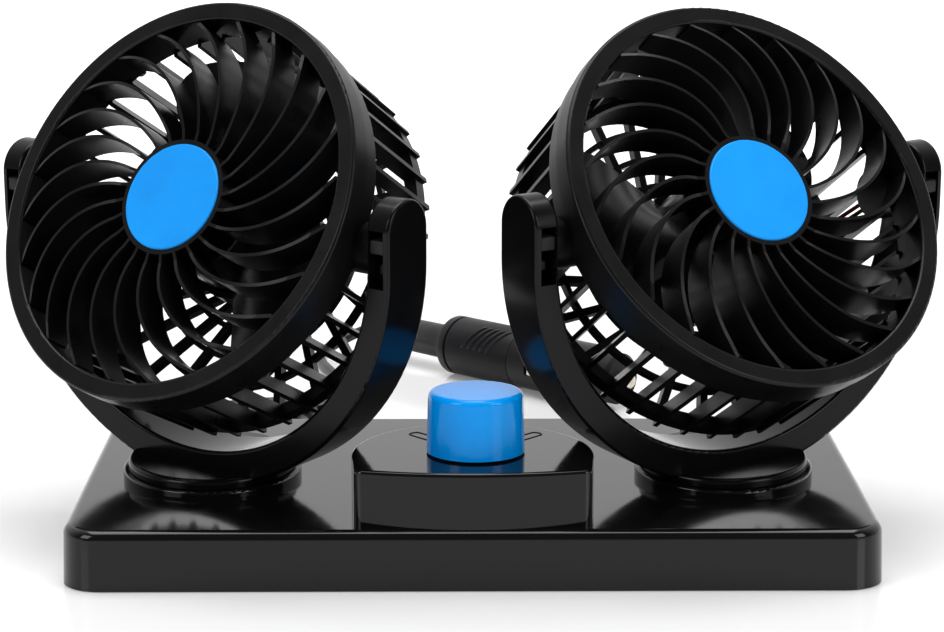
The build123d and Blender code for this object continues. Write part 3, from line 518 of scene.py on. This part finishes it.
PLUG_TAIL_END = (-27.3, 215.3)
PLUG_HEADING = -45.0
PLUG_R = 10.2
PLUG_STEPS = 96
HANDLE_START = 33.0
BARREL_START = 67.0
TAIL_PROFILE = [(0, 0), (4.6, 0), (5.4, 0.3), (5.8, 1.1)]
TAIL_PROFILE += [(6.0, HANDLE_START - 0.6), (6.4, HANDLE_START)]
HANDLE_ROUND = [(1, 0), (0.3, 0.3), (0, 1)]
HANDLE_GROOVE = [(0, 3.6), (0.55, 3.8), (0.55, 4.5), (0, 4.7)]
GRIP_STARTS = (49.0, 51.9, 54.8, 57.7, 60.6)
GRIP_ANGLES = (50, 230)
GRIP_HALF_ARC = 28
GRIP_ARC_STEP = 4
GRIP_LEAN = -7.0
GRIP_RISE = 0.55
GRIP_END_SLOPE = 3
GRIP_ROOT = 0.2
GRIP_HALF_WIDTH = 0.9
GRIP_HALF_TOP = 0.45


def plug_place():
    lay = Matrix.Rotation(math.pi / 2, 4, "Y")
    return Matrix.Translation((*PLUG_TAIL_END, PLUG_R)) @ turn_z(PLUG_HEADING) @ lay


def make_plug_handle():
    """The plug's moulded tail and grip, with rounded ends and a groove round the grip."""
    profile = list(TAIL_PROFILE)
    profile += [(PLUG_R - inset, HANDLE_START + z) for inset, z in HANDLE_ROUND + HANDLE_GROOVE]
    profile += [(PLUG_R - inset, BARREL_START - z) for inset, z in reversed(HANDLE_ROUND)]
    profile += [(0, BARREL_START)]
    handle = lathe("plug_grip", profile, plug_place(), "plug_plastic", PLUG_STEPS)
    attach(handle, "base")
    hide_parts("plug_handle")
    return handle


def make_grip_ridges():
    """Slanting ridges on two sides of the grip, fading into it at their ends."""
    form = bmesh.new()
    mesh = bpy.data.meshes.new("plug_grip_ridges")
    root = PLUG_R - GRIP_ROOT
    steps = range(-GRIP_HALF_ARC, GRIP_HALF_ARC + 1, GRIP_ARC_STEP)
    ends = len(steps) - 1
    for low in GRIP_STARTS:
        for centre in GRIP_ANGLES:
            rings = []
            for k, step in enumerate(steps):
                angle = math.radians(centre + 180 + step)
                top = PLUG_R + GRIP_RISE * min(1, GRIP_END_SLOPE * math.sin(math.pi * k / ends))
                lean = GRIP_LEAN * (k / ends - 0.5)
                spots = [(root, low - GRIP_HALF_WIDTH), (top, low - GRIP_HALF_TOP)]
                spots += [(top, low + GRIP_HALF_TOP), (root, low + GRIP_HALF_WIDTH)]
                spots = [(a * math.cos(angle), a * math.sin(angle), z + lean) for a, z in spots]
                rings.append([form.verts.new(spot) for spot in spots])
            skin(form, rings)
    finish_form(form, mesh, plug_place())
    ridges = new_object("plug_grip_ridges", mesh, "plug_plastic")
    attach(ridges, "base")
    return ridges


# Strain relief, in millimetres, with each rib as (share of its length, rise)

RELIEF_PLACE = (-92.0, 62.0, 5.2)
RELIEF_LENGTH = 12.0
RELIEF_R = (3.9, 2.6)
RELIEF_RIBS = 6
RIB_MARGIN = 1.0
RIB_LENGTH = 1.6
RIB_SHAPE = [(0.0, 0.0), (0.12, 0.35), (0.5, 0.4), (0.62, 0.0)]
RIB_ROOT = 0.4


def make_relief_ribs():
    """Rings round the tapered strain relief, as such boots are moulded."""
    place = Matrix.Translation(RELIEF_PLACE) @ Matrix.Rotation(-math.pi / 2, 4, "X")
    profile = []
    big, small = RELIEF_R
    for k in range(RELIEF_RIBS):
        low = RIB_MARGIN + k * (RELIEF_LENGTH - 2 * RIB_MARGIN) / RELIEF_RIBS
        for share, rise in RIB_SHAPE:
            height = low + share * RIB_LENGTH
            profile.append((big + (small - big) * height / RELIEF_LENGTH + rise, height))
    root = small - RIB_ROOT
    profile = [(root, profile[0][1])] + profile + [(root, profile[-1][1])]
    ribs = lathe("strain_relief_ribs", profile, place, "cord_rubber")
    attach(ribs, "base")


# Small parts of the base and the yokes, in millimetres and degrees

KNOB_PLACE = (0.8, -37.1)
POD_TOP = 31.2
MARK_ANGLES = {"left": 130.0, "right": 49.0}
MARK_LOW = (15.2, -1.7)
MARK_HIGH = (26.8, 1.7)
MARK_CORNER_R = 1.2
MARK_LINE_R = 0.16
MARK_LINE_Z = 0.06
SWIVELS = {"left": (-72.5, -36.04), "right": (70.5, 31.43)}
SWIVEL_Y = -4.6
SWIVEL_LEAN = 3.43
COLLAR_TOP = 19.4
PIVOT_Z = 90.2
ARM_INNER_X = 61.7
CLIP_X = (ARM_INNER_X + 0.9, ARM_INNER_X + 5.4)
CLIP_Y = (-8.3, -2.8)
CLIP_Z = (PIVOT_Z + 0.5, PIVOT_Z + 4.3)
CLIP_EDGE_R = 0.6
REST_INSET = 0.8
REST_Y = (-5.0, 3.4)
REST_Z = (PIVOT_Z - 5.4, PIVOT_Z - 2.9)
REST_EDGE_R = 0.3
LEAD_R = 0.6
LEAD_SHIFTS = {"red": 0.0, "black": 1.5}
PIVOT_LEAD = [(0.4, -1.6, 75.4), (-1.2, -2.2, 76.6), (-2.4, -3.0, 78.0), (-2.9, -3.6, 79.6)]


def make_marks():
    """Raised outlined bars on the pod, one for each speed, pointing at the knob."""
    for side, angle in MARK_ANGLES.items():
        place = Matrix.Translation((*KNOB_PLACE, POD_TOP)) @ turn_z(angle)
        outline = rounded_loop(MARK_LOW, MARK_HIGH, MARK_CORNER_R, steps=4)
        loop = [(x, z, MARK_LINE_Z) for (x, _, z), _ in outline]
        mark = line_piece("pod_mark_" + side, loop, MARK_LINE_R, place, "wire_black", closed=True)
        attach(mark, "base")


def yoke_place(side):
    """From a yoke's own frame, upright and facing forwards, to its place at rest."""
    swivel_x, yaw = SWIVELS[side]
    collar = Matrix.Translation((swivel_x, SWIVEL_Y, COLLAR_TOP))
    lean = Matrix.Rotation(math.radians(SWIVEL_LEAN), 4, "X")
    return collar @ lean @ Matrix.Translation((0, 0, -COLLAR_TOP)) @ turn_z(yaw)


def make_arm_details():
    """The clip over the tilt pin and the rest below it in each arm, and one arm's leads."""
    for side in SIDES:
        place = yoke_place(side)
        mesh = bpy.data.meshes.new(side + "_pin_clips")
        form = bmesh.new()
        for sign in (-1, 1):
            low_x, high_x = sorted(sign * x for x in CLIP_X)
            low, high = zip((low_x, high_x), CLIP_Y, CLIP_Z)
            block(form, low, high, CLIP_EDGE_R)
            low, high = zip((low_x + REST_INSET, high_x - REST_INSET), REST_Y, REST_Z)
            block(form, low, high, REST_EDGE_R)
        finish_form(form, mesh, place)
        clips = new_object(side + "_pin_clips", mesh, "inner_plastic")
        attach(clips, side + "_yoke")
        for colour, shift in LEAD_SHIFTS.items():
            lead = [(ARM_INNER_X + x, y - shift, z) for x, y, z in PIVOT_LEAD]
            name = side + "_pivot_lead_" + colour
            wire = line_piece(name, lead, LEAD_R, place, "wire_" + colour)
            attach(wire, side + "_yoke")


# Studio, in metres

WORLD_LIGHT = 0.35
MIRRORED_DARK = 0.08
MIRRORED_RUN = (-0.25, 0.45)
FLOOR_HALF = 4.0
FLOOR_GREY = 0.82
FLOOR_ROUGHNESS = 0.12
FLOOR_GLOW_NEAR = 0.12
FLOOR_GLOW_FAR = 0.9
FLOOR_GLOW_RUN = (0.2, 0.9)
LAMP_AIM = (0, 0, 0.07)
LAMPS = [
    {"name": "top_softbox", "place": (0, 0.1, 1.3), "size": (1.2, 0.9), "power": 16},
    {"name": "left_softbox", "place": (-1.1, -0.9, 0.8), "size": (0.6, 0.9), "power": 7},
    {"name": "right_softbox", "place": (1.1, -0.9, 0.7), "size": (0.6, 0.9), "power": 6},
]


def sum_of(tree, terms, clamp=False):
    total = terms[0]
    for term in terms[1:]:
        add = tree.nodes.new("ShaderNodeMath")
        add.operation = "ADD"
        add.use_clamp = clamp
        tree.links.new(total, add.inputs[0])
        tree.links.new(term, add.inputs[1])
        total = add.outputs[0]
    return total


def product(tree, source, factor):
    node = tree.nodes.new("ShaderNodeMath")
    node.operation = "MULTIPLY"
    tree.links.new(source, node.inputs[0])
    if isinstance(factor, float):
        node.inputs[1].default_value = factor
    else:
        tree.links.new(factor, node.inputs[1])
    return node.outputs[0]


def shown_rays(tree):
    """1 for a ray that looks straight at a surface, through glass or by a mirror, else 0."""
    path = tree.nodes.new("ShaderNodeLightPath")
    kinds = ("Is Camera Ray", "Is Glossy Ray", "Is Transmission Ray")
    return sum_of(tree, [path.outputs[kind] for kind in kinds], clamp=True)


def make_world():
    """White where it is looked at, a dim light, and mirrored white behind the fan, dark before."""
    world = bpy.data.worlds.new("studio")
    world.use_nodes = True
    scene.world = world
    tree = world.node_tree
    tree.nodes.clear()
    output = tree.nodes.new("ShaderNodeOutputWorld")
    light = tree.nodes.new("ShaderNodeBackground")
    light.inputs["Color"].default_value = (1, 1, 1, 1)
    place = tree.nodes.new("ShaderNodeTexCoord")
    direction = tree.nodes.new("ShaderNodeSeparateXYZ")
    tree.links.new(place.outputs["Generated"], direction.inputs[0])
    mirrored = tree.nodes.new("ShaderNodeMapRange")
    mirrored.inputs["From Min"].default_value = MIRRORED_RUN[0]
    mirrored.inputs["From Max"].default_value = MIRRORED_RUN[1]
    mirrored.inputs["To Min"].default_value = MIRRORED_DARK - WORLD_LIGHT
    mirrored.inputs["To Max"].default_value = 1 - WORLD_LIGHT
    tree.links.new(direction.outputs["Y"], mirrored.inputs["Value"])
    path = tree.nodes.new("ShaderNodeLightPath")
    base = tree.nodes.new("ShaderNodeValue")
    base.outputs[0].default_value = WORLD_LIGHT
    terms = [
        base.outputs[0],
        product(tree, path.outputs["Is Camera Ray"], 1 - WORLD_LIGHT),
        product(tree, path.outputs["Is Transmission Ray"], 1 - WORLD_LIGHT),
        product(tree, path.outputs["Is Glossy Ray"], mirrored.outputs["Result"]),
    ]
    tree.links.new(sum_of(tree, terms), light.inputs["Strength"])
    tree.links.new(light.outputs[0], output.inputs["Surface"])


def make_floor():
    """A pale glossy floor that glows where it is looked at, more so far from the fan."""
    half = FLOOR_HALF
    corners = [(-half, -half, 0), (half, -half, 0), (half, half, 0), (-half, half, 0)]
    mesh = bpy.data.meshes.new("floor")
    mesh.from_pydata(corners, [], [(0, 1, 2, 3)])
    floor = bpy.data.objects.new("floor", mesh)
    scene.collection.objects.link(floor)
    graph = Graph("floor")
    shader = graph.add("ShaderNodeBsdfPrincipled")
    shader.inputs["Base Color"].default_value = (FLOOR_GREY, FLOOR_GREY, FLOOR_GREY, 1)
    shader.inputs["Roughness"].default_value = FLOOR_ROUGHNESS
    distance = graph.add("ShaderNodeVectorMath", operation="LENGTH")
    graph.join(graph.place(), distance.inputs[0])
    far = graph.spread(distance.outputs["Value"], FLOOR_GLOW_NEAR, FLOOR_GLOW_FAR, *FLOOR_GLOW_RUN)
    glow = graph.add("ShaderNodeEmission")
    graph.join(product(graph.tree, shown_rays(graph.tree), far), glow.inputs["Strength"])
    both = graph.add("ShaderNodeAddShader")
    graph.join(shader.outputs[0], both.inputs[0])
    graph.join(glow.outputs[0], both.inputs[1])
    graph.join(both.outputs[0], graph.output.inputs["Surface"])
    mesh.materials.append(graph.material)


def make_lamps():
    for lamp in LAMPS:
        data = bpy.data.lights.new(lamp["name"], "AREA")
        data.shape = "RECTANGLE"
        data.size, data.size_y = lamp["size"]
        data.energy = lamp["power"]
        light = bpy.data.objects.new(lamp["name"], data)
        light.location = lamp["place"]
        aim = Vector(LAMP_AIM) - Vector(lamp["place"])
        light.rotation_euler = aim.to_track_quat("-Z", "Y").to_euler()
        scene.collection.objects.link(light)


make_camera()
make_world()
make_floor()
make_lamps()
dress_cad()
make_cord([make_plug_handle(), make_grip_ridges()])
make_coil_tie()
make_relief_ribs()
make_marks()
make_arm_details()
